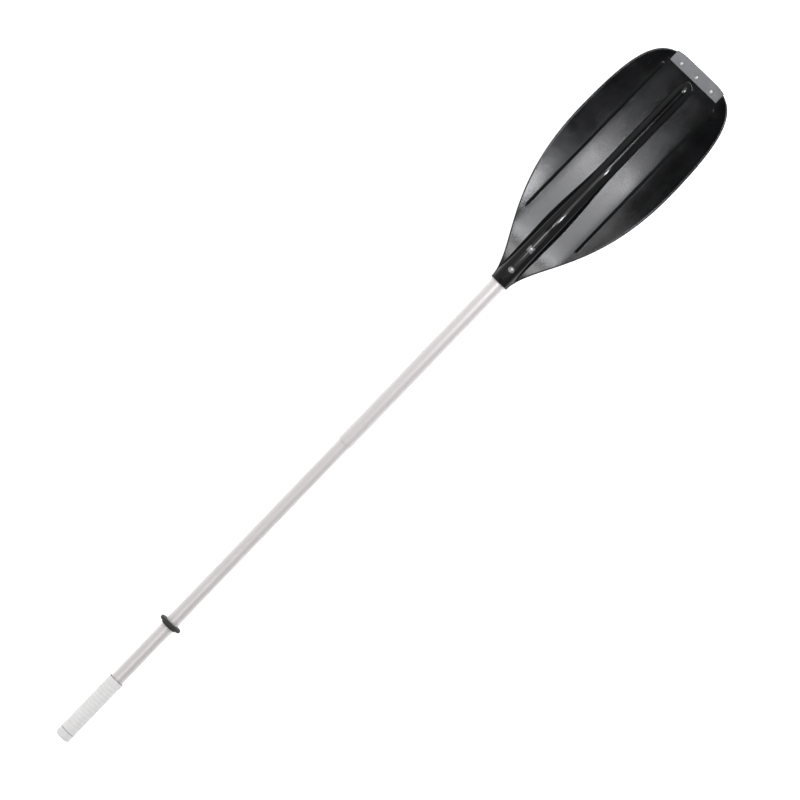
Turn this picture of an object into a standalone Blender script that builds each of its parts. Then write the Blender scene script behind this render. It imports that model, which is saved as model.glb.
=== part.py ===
"""Take-apart oar for an inflatable boat: two-piece aluminium shaft and a ribbed plastic blade.

The oar lies along X, handle at -X and blade tip at +X, with the blade's hollow face up (+Z).
It rests on z = 0 on its stop ring and on the two side ribs of the blade's back.
Lengths along the shaft are counted from the handle end, and on the blade from its mouth.
"""

import math

import bmesh
import bpy
from mathutils import Matrix, Vector
from mathutils.geometry import interpolate_bezier

# Gaps and resolution
GAP = 0.0003
ROUND_SEGMENTS = 40
SMALL_SEGMENTS = 16

# Shaft
UPPER_TUBE_DIAMETER = 0.022
UPPER_TUBE_LENGTH = 0.7457
TUBE_WALL = 0.0012
TUBE_OVERLAP = 0.120
LOWER_TUBE_LENGTH = 0.465

# Handle
CAP_HEAD_LENGTH = 0.014
CAP_SPIGOT_LENGTH = 0.022
CAP_ROUNDING = 0.004
GRIP_LENGTH = 0.1105
GRIP_WALL = 0.0022
GRIP_ROUNDING = 0.0012

# Stop ring, placed by its blade-side face
RING_FACE_FROM_END = 0.2495
RING_DIAMETER = 0.040
RING_THICKNESS = 0.0060
RING_HUB_DIAMETER = 0.027
RING_HUB_LENGTH = 0.003
RING_ROUNDING = 0.0015

# Plugs and foam floats inside the tubes
PLUG_SPIGOT_LENGTH = 0.015
PLUG_FLANGE_THICKNESS = 0.0016
FLOAT_END_ROOM = 0.009

# Snap button and its spring
BUTTON_DIAMETER = 0.008
BUTTON_PROUD = 0.002
BUTTON_FLANGE_MARGIN = 0.001
BUTTON_FLANGE_THICKNESS = 0.001
SPRING_THICKNESS = 0.0006
SPRING_WIDTH = 0.008
SPRING_LENGTH = 0.052
SPRING_BEND_RADIUS = 0.0022
SPRING_END_ROOM = 0.018

# Blade, seen from above
BLADE_LENGTH = 0.4605
BLADE_WIDTH = 0.200
WIDEST_FROM_MOUTH = 0.290
TIP_WIDTH = 0.056
THROAT_REACH = 0.058
SHOULDER_REACH = 0.176

# Blade, seen from the side
PLATE_THICKNESS = 0.004
SPOON_DEPTH = 0.0163
DEEPEST_FROM_MOUTH = 0.290
SPOON_START = 0.0335
TIP_RISE = 0.008
WING_SLOPE = 0.135
HOLLOW_START = 0.027
HOLLOW_END = 0.072

# Curve handles, as shares of the stretch that they bend
SIDE_FULLNESS = 0.72
CORNER_FULLNESS = 0.80
DIP_LEAD = 0.28
DIP_SETTLE = 0.50
RISE_LEAD = 0.35
RISE_SETTLE = 0.70
RISE_AT_SETTLE = 0.38

# Socket, spine and ribs
SOCKET_DEPTH = 0.120
SOCKET_END_ROOM = 0.003
SOCKET_WALL = 0.0037
SPINE_WIDTH = 0.0246
SPINE_HEIGHT_FRONT = 0.006
SPINE_HEIGHT_BACK = 0.0015
SPINE_TAPER_LEAD = 0.015
SPINE_TAPER_LENGTH = 0.150
SPINE_FADE_LENGTH = 0.020
SPINE_FILLET = 0.005
SPINE_FLANK_SLOPE = 3
RIB_OFFSET = 0.054
RIB_HEIGHT = 0.003
RIB_WIDTH = 0.005
RIB_START = 0.100
RIB_FADE_LENGTH = 0.022

# Rivets through the socket
RIVET_NEAR_FROM_MOUTH = 0.028
RIVET_FAR_FROM_MOUTH = 0.072
RIVET_SHANK_DIAMETER = 0.0048
RIVET_HEAD_DIAMETER = 0.010
RIVET_HEAD_HEIGHT = 0.0024
RIVET_SEAT_DEPTH = 0.001

# Tip guard and its rivets
GUARD_WALL = 0.0012
GUARD_DEPTH = 0.022
GUARD_WIDTH = 0.100
GUARD_CLEAR = 0.004
GUARD_RIVET_SPACING = 0.032
GUARD_RIVET_FROM_TIP = 0.0125
GUARD_RIVET_SHANK_DIAMETER = 0.0036
GUARD_RIVET_HEAD_DIAMETER = 0.008
GUARD_RIVET_HEAD_HEIGHT = 0.0013

# Where a blade section is measured: stations in each band, and how narrow sections squeeze them
SPINE_STATIONS = 7
FLUTE_STATIONS = 3
RIB_STATIONS = 4
WING_STATIONS = 3
RIM_STATIONS = 3
SPINE_BAND_MARGIN = 1.05
SPINE_BAND_SHARE = 0.60
RIB_LINE_SHARE = 0.80
RIB_HALF_SHARE = 0.08

# Steps along the blade and across the tip guard
SIDE_STEPS = 20
TIP_STEPS = 17
GUARD_STEPS = 20

# Radii that follow from the sizes above
upper_outer = UPPER_TUBE_DIAMETER / 2
upper_inner = upper_outer - TUBE_WALL
lower_inner = upper_outer + GAP
lower_outer = lower_inner + TUBE_WALL
bore_radius = lower_outer + GAP
socket_radius = bore_radius + SOCKET_WALL
ring_radius = RING_DIAMETER / 2
button_radius = BUTTON_DIAMETER / 2
button_flange_radius = button_radius + BUTTON_FLANGE_MARGIN
grip_inner = upper_outer + GAP
grip_outer = grip_inner + GRIP_WALL

# Places along the shaft, from the handle end
upper_start = CAP_HEAD_LENGTH + GAP
upper_end = upper_start + UPPER_TUBE_LENGTH
joint_mouth = upper_end - TUBE_OVERLAP
lower_end = joint_mouth + LOWER_TUBE_LENGTH
blade_mouth = lower_end + SOCKET_END_ROOM - SOCKET_DEPTH
guard_end = BLADE_LENGTH + GAP + GUARD_WALL
total_length = blade_mouth + guard_end
spring_end = upper_end - PLUG_SPIGOT_LENGTH - SPRING_END_ROOM
spring_start = spring_end - SPRING_LENGTH
button_place = spring_start + button_flange_radius


def wing_lift(v):
    """Rise of the plate off its centre line: a parabola over the hollow, then a straight wing."""
    width = HOLLOW_END - HOLLOW_START
    in_hollow = min(max(abs(v) - HOLLOW_START, 0.0), width)
    on_wing = max(abs(v) - HOLLOW_END, 0.0)
    return WING_SLOPE * (in_hollow ** 2 / (2 * width) + on_wing)


# The shaft's height: the ring or the ribs, whichever is deeper, reach down to z = 0
rib_depth = SPOON_DEPTH + PLATE_THICKNESS / 2 + RIB_HEIGHT - wing_lift(RIB_OFFSET)
axis_height = max(ring_radius, rib_depth)


def along(from_end):
    """X of a place on the shaft, given its distance from the handle end."""
    return from_end - total_length / 2


def on_blade(from_mouth):
    """X of a place on the blade, given its distance from the blade's mouth."""
    return along(blade_mouth + from_mouth)


def smooth_step(value, low, high):
    """Rises from 0 at low to 1 at high with level ends."""
    share = min(max((value - low) / (high - low), 0.0), 1.0)
    return share * share * (3 - 2 * share)


def smooth_max(first, second, blend):
    """The larger of two heights, with a fillet where they come within the blend of each other."""
    near = max(1 - abs(first - second) / blend, 0.0)
    return max(first, second) + near * near * blend / 4


def lerp(first, second, share):
    return first + (second - first) * share


def interpolate(points, place):
    """Height at a place on a curve given as points (place, height), in rising order."""
    if place <= points[0][0]:
        return points[0][1]
    for (low, low_height), (high, high_height) in zip(points, points[1:]):
        if place <= high:
            return lerp(low_height, high_height, (place - low) / max(high - low, 1e-9))
    return points[-1][1]


def bezier(start, start_handle, end_handle, end, steps):
    """Points (x, y) along one Bezier stretch, both ends included."""
    knots = [Vector((x, y, 0)) for x, y in (start, start_handle, end_handle, end)]
    return [(point.x, point.y) for point in interpolate_bezier(*knots, steps + 1)]


# The scene, its collections and materials

def clear_scene():
    for thing in list(bpy.data.objects):
        bpy.data.objects.remove(thing, do_unlink=True)


def new_collection(name):
    collection = bpy.data.collections.new(name)
    bpy.context.scene.collection.children.link(collection)
    return collection


def material(name, color, roughness, metallic=0.0):
    surface = bpy.data.materials.new(name)
    surface.use_nodes = True
    shader = surface.node_tree.nodes["Principled BSDF"]
    shader.inputs["Base Color"].default_value = (*color, 1.0)
    shader.inputs["Roughness"].default_value = roughness
    shader.inputs["Metallic"].default_value = metallic
    surface.diffuse_color = (*color, 1.0)
    return surface


# Building blocks

def put(name, mesh, collection, surface=None):
    """A new object holding the mesh, in the collection."""
    thing = bpy.data.objects.new(name, mesh)
    collection.objects.link(thing)
    if surface:
        mesh.materials.append(surface)
    return thing


def shade_round(mesh, degrees=35):
    mesh.shade_smooth()
    mesh.set_sharp_from_angle(angle=math.radians(degrees))


def apply_modifiers(thing):
    """Replaces the object's mesh with what its modifiers make of it."""
    evaluated = thing.evaluated_get(bpy.context.evaluated_depsgraph_get())
    mesh = bpy.data.meshes.new_from_object(evaluated)
    thing.modifiers.clear()
    thing.data = mesh


def turned(name, profile, collection, surface, segments=ROUND_SEGMENTS):
    """A closed ring profile of (radius, height) points, turned about Z.

    The points run down the outer side and back up the inner side or the axis.
    """
    mesh = bpy.data.meshes.new(name)
    vertices = [(radius, 0, height) for radius, height in profile]
    on_axis = profile[0][0] == 0 and profile[-1][0] == 0
    count = len(profile)
    edges = [(index, index + 1) for index in range(count - 1)]
    if not on_axis:
        edges.append((count - 1, 0))
    mesh.from_pydata(vertices, edges, [])
    thing = put(name, mesh, collection, surface)
    screw = thing.modifiers.new("turn", "SCREW")
    screw.axis = "Z"
    screw.angle = math.tau
    screw.steps = segments
    screw.render_steps = segments
    screw.use_merge_vertices = True
    screw.merge_threshold = 0.00001
    apply_modifiers(thing)
    shade_round(thing.data)
    return thing


def aim_along_shaft(thing, from_end):
    """Turns an object made about Z so that its +Z runs towards the blade."""
    thing.rotation_euler = (0, math.pi / 2, 0)
    thing.location = (along(from_end), 0, axis_height)
    return thing


def sleeve_profile(inner, outer, length, rounding=0.0):
    """A pipe's profile, its outer ends rounded off when asked."""
    top = [(outer, length)]
    bottom = [(outer, 0)]
    if rounding:
        top = corner_arc(outer, length, rounding, True)
        bottom = corner_arc(outer, 0, rounding, False)
    return [(inner, length)] + top + bottom + [(inner, 0)]


def corner_arc(radius, height, rounding, is_top, steps=2):
    """Points round an outer corner of a turned profile, from top to bottom."""
    points = []
    for step in range(steps + 1):
        angle = math.pi / 2 * step / steps
        if is_top:
            out = rounding * (math.sin(angle) - 1)
            up = rounding * (math.cos(angle) - 1)
        else:
            out = rounding * (math.cos(angle) - 1)
            up = rounding * (1 - math.sin(angle))
        points.append((radius + out, height + up))
    return points


def cylinder(name, radius, start, end, collection, segments=SMALL_SEGMENTS):
    """A cylinder about its own Z, from one height to another."""
    mesh = bpy.data.meshes.new(name)
    shape = bmesh.new()
    bmesh.ops.create_cone(
        shape,
        cap_ends=True,
        segments=segments,
        radius1=radius,
        radius2=radius,
        depth=end - start,
        matrix=Matrix.Translation((0, 0, (start + end) / 2)),
    )
    shape.to_mesh(mesh)
    shape.free()
    return put(name, mesh, collection)


def cut(thing, cutter):
    """Takes the cutter's shape out of the object."""
    cutter.hide_render = True
    cutter.display_type = "WIRE"
    boolean = thing.modifiers.new("cut " + cutter.name, "BOOLEAN")
    boolean.operation = "DIFFERENCE"
    boolean.solver = "EXACT"
    boolean.object = cutter


def closed_mesh(name, rings):
    """A skin over a row of rings with equal point counts, capped at both ends."""
    mesh = bpy.data.meshes.new(name)
    shape = bmesh.new()
    rows = [[shape.verts.new(point) for point in ring] for ring in rings]
    count = len(rows[0])
    for row, following in zip(rows, rows[1:]):
        for index in range(count):
            neighbour = (index + 1) % count
            shape.faces.new((row[index], row[neighbour], following[neighbour], following[index]))
    shape.faces.new(list(reversed(rows[0])))
    shape.faces.new(rows[-1])
    bmesh.ops.recalc_face_normals(shape, faces=shape.faces)
    shape.to_mesh(mesh)
    shape.free()
    return mesh


# The blade's shape

def blade_outline():
    """Half-width of the blade against the distance from its mouth."""
    half_width = BLADE_WIDTH / 2
    half_tip = TIP_WIDTH / 2
    side = bezier(
        (0, socket_radius),
        (THROAT_REACH, socket_radius),
        (WIDEST_FROM_MOUTH - SHOULDER_REACH, half_width),
        (WIDEST_FROM_MOUTH, half_width),
        SIDE_STEPS,
    )
    tip = bezier(
        (WIDEST_FROM_MOUTH, half_width),
        (lerp(WIDEST_FROM_MOUTH, BLADE_LENGTH, SIDE_FULLNESS), half_width),
        (BLADE_LENGTH, lerp(half_tip, half_width, CORNER_FULLNESS)),
        (BLADE_LENGTH, half_tip),
        TIP_STEPS,
    )
    return side + tip[1:]


def spoon_curve():
    """Height of the plate's middle against the distance from the mouth, 0 on the shaft's axis."""
    dip = bezier(
        (SPOON_START, 0),
        (lerp(SPOON_START, DEEPEST_FROM_MOUTH, DIP_LEAD), 0),
        (lerp(SPOON_START, DEEPEST_FROM_MOUTH, DIP_SETTLE), -SPOON_DEPTH),
        (DEEPEST_FROM_MOUTH, -SPOON_DEPTH),
        SIDE_STEPS,
    )
    rise = bezier(
        (DEEPEST_FROM_MOUTH, -SPOON_DEPTH),
        (lerp(DEEPEST_FROM_MOUTH, BLADE_LENGTH, RISE_LEAD), -SPOON_DEPTH),
        (lerp(DEEPEST_FROM_MOUTH, BLADE_LENGTH, RISE_SETTLE), RISE_AT_SETTLE * TIP_RISE - SPOON_DEPTH),
        (BLADE_LENGTH, TIP_RISE - SPOON_DEPTH),
        SIDE_STEPS,
    )
    return dip + rise[1:]


outline = blade_outline()
spoon = spoon_curve()


def spine_share(u):
    """0 where the round socket is whole, 1 where it has become the low spine."""
    start = SOCKET_DEPTH - SPINE_TAPER_LEAD
    return smooth_step(u, start, start + SPINE_TAPER_LENGTH)


def spine_half_width(u):
    return lerp(socket_radius, SPINE_WIDTH / 2, spine_share(u))


def fade(u, length):
    """1 along the blade, 0 where the tip guard's seat begins."""
    end = BLADE_LENGTH - GUARD_DEPTH - GUARD_CLEAR
    return 1 - smooth_step(u, end - length, end)


def spine_height(u, v, is_front):
    """Height of the socket and spine alone, signed so that outwards is positive."""
    side = 1 if is_front else -1
    share = spine_share(u)
    middle = side * interpolate(spoon, u) * share
    rise = SPINE_HEIGHT_FRONT if is_front else SPINE_HEIGHT_BACK
    sunk = PLATE_THICKNESS / 2 - SPINE_FILLET
    low = lerp(sunk, PLATE_THICKNESS / 2 + rise, fade(u, SPINE_FADE_LENGTH))
    height = lerp(socket_radius, low, share)
    across = abs(v) / spine_half_width(u)
    if across < 1:
        return middle + height * math.sqrt(1 - across * across)
    return middle - SPINE_FLANK_SLOPE * socket_radius * (across - 1)


def rib_height(u, v):
    """Height of the side rib above the plate."""
    away = abs(abs(v) - RIB_OFFSET) / (RIB_WIDTH / 2)
    if away >= 1:
        return 0.0
    start = smooth_step(u, RIB_START, RIB_START + RIB_FADE_LENGTH)
    return RIB_HEIGHT * start * fade(u, RIB_FADE_LENGTH) * math.cos(math.pi / 2 * away) ** 2


def plate_middle(u, v):
    """Height of the plate's middle: the spoon along the blade, and its wings rising to the sides."""
    return interpolate(spoon, u) + wing_lift(v)


def surface_height(u, v, is_front):
    """Height of the blade's front or back above the shaft's axis."""
    side = 1 if is_front else -1
    plate = side * plate_middle(u, v) + PLATE_THICKNESS / 2 + rib_height(u, v)
    return side * smooth_max(plate, spine_height(u, v, is_front), SPINE_FILLET)


def stations(u, half_width):
    """Distances from the centre line at which a blade section is measured, out to its rim."""
    rim = PLATE_THICKNESS / 2
    reach = half_width - rim
    rib_line = min(RIB_OFFSET, RIB_LINE_SHARE * reach)
    rib_half = min(RIB_WIDTH / 2, RIB_HALF_SHARE * reach)
    spine_edge = min(spine_half_width(u) * SPINE_BAND_MARGIN, SPINE_BAND_SHARE * reach)
    rows = []
    for step in range(SPINE_STATIONS):
        rows.append(spine_edge * math.sin(math.pi / 2 * step / SPINE_STATIONS))
    for step in range(FLUTE_STATIONS):
        rows.append(lerp(spine_edge, rib_line - rib_half, step / FLUTE_STATIONS))
    for step in range(RIB_STATIONS):
        rows.append(lerp(rib_line - rib_half, rib_line + rib_half, step / RIB_STATIONS))
    for step in range(WING_STATIONS + 1):
        rows.append(lerp(rib_line + rib_half, reach, step / WING_STATIONS))
    return rows


def blade_section(u, half_width):
    """One closed ring of points round the blade."""
    right = stations(u, half_width)
    across = [-v for v in reversed(right)] + right[1:]
    x = on_blade(u)
    rim = PLATE_THICKNESS / 2
    front = [(x, v, surface_height(u, v, True)) for v in across]
    back = [(x, v, surface_height(u, v, False)) for v in reversed(across)]
    middle = (front[-1][2] + back[0][2]) / 2
    half = (front[-1][2] - back[0][2]) / 2
    edge = []
    for step in range(1, RIM_STATIONS + 1):
        angle = math.pi / 2 - math.pi * step / (RIM_STATIONS + 1)
        out = half_width - rim + rim * math.cos(angle)
        edge.append((x, out, middle + half * math.sin(angle)))
    far_edge = [(x, -y, z) for x, y, z in reversed(edge)]
    return front + edge + back + far_edge


def make_blade(collection, cutters, surface):
    rings = []
    for u, half_width in outline:
        rings.append([(x, y, z + axis_height) for x, y, z in blade_section(u, half_width)])
    blade = put("blade", closed_mesh("blade", rings), collection, surface)
    bore = cylinder("blade_bore", bore_radius, -SOCKET_WALL, SOCKET_DEPTH, cutters, ROUND_SEGMENTS)
    aim_along_shaft(bore, blade_mouth)
    cut(blade, bore)
    for place, label in ((RIVET_NEAR_FROM_MOUTH, "near"), (RIVET_FAR_FROM_MOUTH, "far")):
        for side in (1, -1):
            seat = cylinder(
                f"blade_rivet_seat_{label}_{side}",
                RIVET_HEAD_DIAMETER / 2 + GAP * 2,
                socket_radius - RIVET_SEAT_DEPTH,
                socket_radius + RIVET_HEAD_HEIGHT,
                cutters,
            )
            seat.location = (on_blade(place), 0, axis_height)
            seat.rotation_euler = (0, 0 if side > 0 else math.pi, 0)
            cut(blade, seat)
    shade_round(blade.data)
    return blade


# Shaft pieces

def make_tubes(collection, metal):
    upper = turned(
        "upper_tube",
        sleeve_profile(upper_inner, upper_outer, UPPER_TUBE_LENGTH),
        collection,
        metal,
    )
    aim_along_shaft(upper, upper_start)
    lower = turned(
        "lower_tube",
        sleeve_profile(lower_inner, lower_outer, LOWER_TUBE_LENGTH),
        collection,
        metal,
    )
    aim_along_shaft(lower, joint_mouth)
    return upper, lower


def make_grip(collection, surface):
    profile = sleeve_profile(grip_inner, grip_outer, GRIP_LENGTH, GRIP_ROUNDING)
    return aim_along_shaft(turned("grip_sleeve", profile, collection, surface), upper_start)


def make_end_cap(collection, surface):
    """A round head over the tube's end, with a spigot inside the tube."""
    spigot = upper_inner - GAP
    profile = [(0, CAP_HEAD_LENGTH + CAP_SPIGOT_LENGTH), (spigot, CAP_HEAD_LENGTH + CAP_SPIGOT_LENGTH)]
    profile += [(spigot, CAP_HEAD_LENGTH), (grip_outer, CAP_HEAD_LENGTH)]
    profile += corner_arc(grip_outer, 0, CAP_ROUNDING, False)
    profile += [(0, 0)]
    return aim_along_shaft(turned("end_cap", profile, collection, surface), 0)


def make_stop_ring(collection, surface):
    """A flange on the blade side with a short hub on the handle side."""
    inner = upper_outer + GAP
    hub = RING_HUB_DIAMETER / 2
    length = RING_HUB_LENGTH + RING_THICKNESS
    profile = [(inner, length)]
    profile += corner_arc(ring_radius, length, RING_ROUNDING, True)
    profile += corner_arc(ring_radius, RING_HUB_LENGTH, RING_ROUNDING, False)
    profile += [(hub, RING_HUB_LENGTH)]
    profile += corner_arc(hub, 0, RING_ROUNDING, False)
    profile += [(inner, 0)]
    ring = turned("stop_ring", profile, collection, surface)
    return aim_along_shaft(ring, RING_FACE_FROM_END - length)


def make_plug(name, tube_inner, tube_outer, tube_end, collection, surface):
    """A round plug at a tube's blade end: a spigot inside and a flange over the end."""
    spigot = tube_inner - GAP
    length = PLUG_SPIGOT_LENGTH + PLUG_FLANGE_THICKNESS
    profile = [(0, length), (tube_outer, length), (tube_outer, PLUG_SPIGOT_LENGTH)]
    profile += [(spigot, PLUG_SPIGOT_LENGTH), (spigot, 0), (0, 0)]
    plug = turned(name, profile, collection, surface)
    aim_along_shaft(plug, tube_end + GAP - PLUG_SPIGOT_LENGTH)


def make_float(name, tube_inner, start, end, collection, foam):
    """A foam rod inside a tube, with room at both ends."""
    radius = tube_inner - GAP
    length = end - start - 2 * FLOAT_END_ROOM
    profile = [(0, length), (radius, length), (radius, 0), (0, 0)]
    rod = turned(name, profile, collection, foam, SMALL_SEGMENTS)
    aim_along_shaft(rod, start + FLOAT_END_ROOM)


def make_plugs_and_floats(collection, plastic, foam):
    make_plug("upper_tube_plug", upper_inner, upper_outer, upper_end, collection, plastic)
    make_plug("lower_tube_plug", lower_inner, lower_outer, lower_end, collection, plastic)
    cap_end = CAP_HEAD_LENGTH + CAP_SPIGOT_LENGTH
    make_float("upper_float", upper_inner, cap_end, spring_start, collection, foam)
    plug_end = upper_end + GAP + PLUG_FLANGE_THICKNESS
    first_rivet = blade_mouth + RIVET_NEAR_FROM_MOUTH - RIVET_SHANK_DIAMETER / 2
    make_float("lower_float", lower_inner, plug_end, first_rivet, collection, foam)


# Snap button and spring

def button_levels():
    """Distances below the shaft's axis: flange top and bottom, and the button's end."""
    reach = upper_inner - GAP
    flange_bottom = math.sqrt(reach ** 2 - button_flange_radius ** 2)
    flange_top = flange_bottom - BUTTON_FLANGE_THICKNESS
    return flange_top, flange_bottom, lower_outer + BUTTON_PROUD


def make_button(collection, surface):
    """A domed pin with a flange inside the upper tube, pointing down."""
    flange_top, flange_bottom, end = button_levels()
    profile = [(0, -flange_top), (button_flange_radius, -flange_top)]
    profile += [(button_flange_radius, -flange_bottom), (button_radius, -flange_bottom)]
    steps = 3
    for step in range(steps):
        angle = math.pi / 2 * step / steps
        down = lower_outer + BUTTON_PROUD * math.sin(angle)
        profile.append((button_radius * math.cos(angle), -down))
    profile.append((0, -end))
    button = turned("snap_button", profile, collection, surface, SMALL_SEGMENTS)
    button.location = (along(button_place), 0, axis_height)
    return button


def make_spring(collection, surface):
    """A bent strip: one leg carries the button, the other bears on the far wall of the tube."""
    flange_top, _, _ = button_levels()
    half = SPRING_THICKNESS / 2
    button_level = -(flange_top - GAP - half)
    reach = upper_inner - GAP
    wall_level = math.sqrt(reach ** 2 - (SPRING_WIDTH / 2) ** 2) - half
    start = -button_flange_radius
    bend_centre = start + SPRING_LENGTH - SPRING_BEND_RADIUS - half
    path = [(start, button_level), (-start, button_level)]
    bend_steps = 8
    for step in range(bend_steps + 1):
        angle = -math.pi / 2 + math.pi * step / bend_steps
        path.append((
            bend_centre + SPRING_BEND_RADIUS * math.cos(angle),
            SPRING_BEND_RADIUS * math.sin(angle),
        ))
    path += [(-start, wall_level), (start, wall_level)]
    mesh = bpy.data.meshes.new("spring_clip")
    vertices = []
    for x, z in path:
        vertices += [(x, -SPRING_WIDTH / 2, z), (x, SPRING_WIDTH / 2, z)]
    faces = []
    for index in range(len(path) - 1):
        first = 2 * index
        faces.append((first, first + 1, first + 3, first + 2))
    mesh.from_pydata(vertices, [], faces)
    clip = put("spring_clip", mesh, collection, surface)
    solidify = clip.modifiers.new("thickness", "SOLIDIFY")
    solidify.thickness = SPRING_THICKNESS
    solidify.offset = 0
    apply_modifiers(clip)
    shade_round(clip.data, 50)
    clip.location = (along(button_place), 0, axis_height)
    return clip


def cut_button_holes(upper, lower, cutters):
    """The hole for the button runs through the lower wall of both tubes."""
    reach = lower_outer + BUTTON_PROUD
    hole = cylinder("button_hole", button_radius + GAP, -reach, 0, cutters)
    hole.location = (along(button_place), 0, axis_height)
    cut(upper, hole)
    cut(lower, hole)


# Rivets

def rivet_profile(shank, head, head_height, grip):
    """A rivet with two domed heads; the grip is the distance between them."""
    steps = 3
    end = grip / 2 + head_height
    profile = [(0, end)]
    for step in range(1, steps + 1):
        angle = math.pi / 2 * step / steps
        profile.append((head * math.sin(angle), grip / 2 + head_height * math.cos(angle)))
    profile += [(shank, grip / 2), (shank, -grip / 2)]
    for step in range(steps, 0, -1):
        angle = math.pi / 2 * step / steps
        profile.append((head * math.sin(angle), -grip / 2 - head_height * math.cos(angle)))
    profile.append((0, -end))
    return profile


def make_blade_rivets(collection, cutters, metal, blade, lower):
    grip = 2 * (socket_radius - RIVET_SEAT_DEPTH + GAP)
    reach = socket_radius + RIVET_HEAD_HEIGHT
    profile = rivet_profile(
        RIVET_SHANK_DIAMETER / 2,
        RIVET_HEAD_DIAMETER / 2,
        RIVET_HEAD_HEIGHT,
        grip,
    )
    for place, label in ((RIVET_NEAR_FROM_MOUTH, "near"), (RIVET_FAR_FROM_MOUTH, "far")):
        centre = (on_blade(place), 0, axis_height)
        rivet = turned(f"blade_rivet_{label}", profile, collection, metal, SMALL_SEGMENTS)
        rivet.location = centre
        hole = cylinder(
            f"blade_rivet_hole_{label}",
            RIVET_SHANK_DIAMETER / 2 + GAP,
            -reach,
            reach,
            cutters,
        )
        hole.location = centre
        cut(blade, hole)
        cut(lower, hole)


# Tip guard

def tip_edge(v):
    """Distance from the mouth to the blade's tip edge at a distance v from the centre line."""
    corner = [(half_width, u) for u, half_width in outline if u > WIDEST_FROM_MOUTH]
    corner.reverse()
    return interpolate(corner, abs(v))


def guard_section(v):
    """A U-shaped ring folded over the tip edge at v, open towards the mouth."""
    inner_gap = PLATE_THICKNESS / 2 + GAP
    outer_gap = inner_gap + GUARD_WALL
    edge = tip_edge(v)
    inner_end = edge + GAP
    outer_end = inner_end + GUARD_WALL
    start = guard_end - GUARD_DEPTH
    steps = 3
    rows = [lerp(start, edge, step / steps) for step in range(steps + 1)]
    nose = outer_gap - GUARD_WALL

    def at(u, offset):
        return (on_blade(u), v, axis_height + plate_middle(min(u, edge), v) + offset)

    ring = [at(u, outer_gap) for u in rows]
    ring += [at(outer_end, nose), at(outer_end, -nose)]
    ring += [at(u, -outer_gap) for u in reversed(rows)]
    ring += [at(u, -inner_gap) for u in rows[:-1]]
    ring += [at(inner_end, -inner_gap), at(inner_end, inner_gap)]
    ring += [at(u, inner_gap) for u in reversed(rows[:-1])]
    return ring


def make_tip_guard(collection, surface):
    rings = []
    for step in range(GUARD_STEPS + 1):
        rings.append(guard_section(lerp(-GUARD_WIDTH / 2, GUARD_WIDTH / 2, step / GUARD_STEPS)))
    guard = put("tip_guard", closed_mesh("tip_guard", rings), collection, surface)
    shade_round(guard.data)
    return guard


def make_guard_rivets(collection, cutters, metal, blade, guard):
    """Three rivets square to the plate, through the guard and the blade."""
    place = BLADE_LENGTH - GUARD_RIVET_FROM_TIP
    reach = GUARD_RIVET_HEAD_DIAMETER / 2
    rise = plate_middle(place + reach, 0) - plate_middle(place - reach, 0)
    tilt = -math.atan2(rise, 2 * reach)
    grip = PLATE_THICKNESS + 2 * (GAP + GUARD_WALL + GAP)
    profile = rivet_profile(
        GUARD_RIVET_SHANK_DIAMETER / 2,
        GUARD_RIVET_HEAD_DIAMETER / 2,
        GUARD_RIVET_HEAD_HEIGHT,
        grip,
    )
    for v, label in ((-GUARD_RIVET_SPACING, "right"), (0, "middle"), (GUARD_RIVET_SPACING, "left")):
        centre = (on_blade(place), v, axis_height + plate_middle(place, v))
        rivet = turned(f"tip_guard_rivet_{label}", profile, collection, metal, SMALL_SEGMENTS)
        rivet.location = centre
        rivet.rotation_euler = (0, tilt, 0)
        hole = cylinder(
            f"tip_guard_hole_{label}",
            GUARD_RIVET_SHANK_DIAMETER / 2 + GAP,
            -grip,
            grip,
            cutters,
        )
        hole.location = centre
        hole.rotation_euler = (0, tilt, 0)
        cut(blade, hole)
        cut(guard, hole)


def main():
    clear_scene()
    oar = new_collection("oar")
    cutters = new_collection("oar cutters")

    anodised = material("anodised aluminium", (0.74, 0.73, 0.73), 0.38, 0.9)
    rivet_metal = material("rivet aluminium", (0.62, 0.62, 0.63), 0.40, 0.9)
    spring_steel = material("spring steel", (0.55, 0.55, 0.56), 0.30, 1.0)
    grip_grey = material("pale grey grip", (0.70, 0.69, 0.68), 0.60)
    cap_grey = material("grey cap", (0.60, 0.59, 0.58), 0.50)
    black_rubber = material("black rubber", (0.02, 0.02, 0.02), 0.75)
    black_plastic = material("black plastic", (0.018, 0.018, 0.019), 0.32)
    guard_grey = material("light grey guard", (0.45, 0.46, 0.47), 0.42)
    white_foam = material("white foam", (0.85, 0.85, 0.83), 0.90)

    upper, lower = make_tubes(oar, anodised)
    make_grip(oar, grip_grey)
    make_end_cap(oar, cap_grey)
    make_stop_ring(oar, black_rubber)
    make_plugs_and_floats(oar, black_plastic, white_foam)
    make_button(oar, spring_steel)
    make_spring(oar, spring_steel)
    cut_button_holes(upper, lower, cutters)
    blade = make_blade(oar, cutters, black_plastic)
    make_blade_rivets(oar, cutters, rivet_metal, blade, lower)
    guard = make_tip_guard(oar, guard_grey)
    make_guard_rivets(oar, cutters, rivet_metal, blade, guard)


main()
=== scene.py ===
import math

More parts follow.
